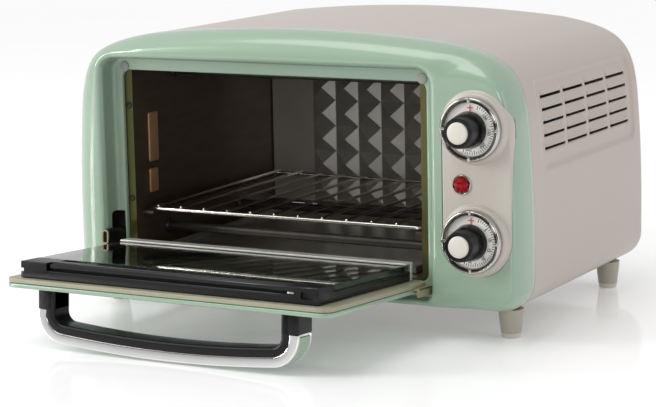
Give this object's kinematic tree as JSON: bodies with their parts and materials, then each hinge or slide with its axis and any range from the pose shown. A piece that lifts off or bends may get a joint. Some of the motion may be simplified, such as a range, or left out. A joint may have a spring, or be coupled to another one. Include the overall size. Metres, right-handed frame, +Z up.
{
  "type": "toaster oven",
  "caption": "Small rounded countertop toaster oven with a drop-down glass door, U handle, turn dials, louvred sides, a wire rack and a crumb tray.",
  "frame": {"origin": "on the table, under the middle of the whole oven's box with its door open", "axes": "+Z up from the table, +Y towards the back of the oven, +X to the right of someone who faces the door"},
  "size_m": [0.352, 0.3668, 0.2034],
  "materials": {
    "mint_paint": "glossy",
    "cream_paint": "satin",
    "black_plastic": "matte",
    "cream_plastic": "satin",
    "white_plastic": "satin",
    "mint_plastic": "glossy",
    "chrome": "polished",
    "cavity_steel": "dull",
    "zinc_steel": "dull",
    "khaki_paint": "satin",
    "clear_glass": "clear",
    "clear_plastic": "clear",
    "red_plastic": "glossy",
    "rubber": "matte",
    "ceramic": "matte",
    "bell_brass": "polished"
  },
  "bodies": {
    "oven": {"front_bezel": "mint_paint", "outer_shell": "cream_paint", "base_plate": "zinc_steel", "rear_panel": "cream_paint", "cavity_liner": "cavity_steel", "back_reflector": "cavity_steel", "control_fascia": "cream_plastic", "control_bracket": "zinc_steel", "timer_unit": "black_plastic", "timer_bell": "bell_brass", "thermostat_unit": "ceramic", "cord_gland": "black_plastic", "terminal_block": "ceramic", "thermostat_dial_ring": "chrome", "timer_dial_ring": "chrome", "thermostat_dial_plate": "white_plastic", "timer_dial_plate": "white_plastic", "pilot_lens": "red_plastic", "pilot_rim": "chrome", "pilot_lamp": "clear_plastic", "upper_front_element": "zinc_steel", "upper_rear_element": "zinc_steel", "lower_front_element": "zinc_steel", "lower_rear_element": "zinc_steel", "element_bracket_left": "zinc_steel", "element_bracket_right": "zinc_steel", "flange_screw_upper": "zinc_steel", "flange_screw_lower": "zinc_steel", "bumper_left": "rubber", "bumper_right": "rubber", "hinge_pin_left": "zinc_steel", "hinge_pin_right": "zinc_steel", "foot_front_left": "cream_plastic", "foot_back_left": "cream_plastic", "foot_front_right": "cream_plastic", "foot_back_right": "cream_plastic"},
    "door": {"door_panel": "mint_paint", "door_liner": "khaki_paint", "outer_glass": "clear_glass", "inner_frame": "black_plastic", "inner_glass": "clear_glass", "glass_channel": "zinc_steel", "hinge_strap_left": "khaki_paint", "hinge_strap_right": "khaki_paint", "stay_arm": "black_plastic", "stay_eyelet": "zinc_steel", "handle_grip": "black_plastic", "handle_trim": "chrome", "handle_inlay": "mint_plastic"},
    "thermostat_knob": {"thermostat_knob_grip": "black_plastic", "thermostat_knob_cap": "white_plastic", "thermostat_knob_skirt": "clear_plastic", "thermostat_shaft": "zinc_steel"},
    "timer_knob": {"timer_knob_grip": "black_plastic", "timer_knob_cap": "white_plastic", "timer_knob_skirt": "clear_plastic", "timer_shaft": "zinc_steel"},
    "rack": {"wire_rack": "chrome"},
    "tray": {"crumb_tray": "zinc_steel"}
  },
  "joints": [
    {"name": "door_hinge", "type": "hinge", "parent": "oven", "child": "door", "pos_m": [-0.01715, -0.0431, 0.0328], "axis": [-1, 0, 0], "range_deg": [0, 86.2]},
    {"name": "thermostat_turn", "type": "hinge", "parent": "oven", "child": "thermostat_knob", "pos_m": [0.1459, -0.0666, 0.1444], "axis": [0, 1, 0], "range_deg": [0, 290]},
    {"name": "timer_turn", "type": "hinge", "parent": "oven", "child": "timer_knob", "pos_m": [0.1459, -0.0666, 0.0704], "axis": [0, 1, 0], "range_deg": [0, 330]},
    {"name": "rack_slide", "type": "slide", "parent": "oven", "child": "rack", "axis": [0, 1, 0], "range_m": [-0.15, 0]},
    {"name": "crumb_tray_slide", "type": "slide", "parent": "oven", "child": "tray", "axis": [0, 1, 0], "range_m": [0, 0.19]}
  ]
}
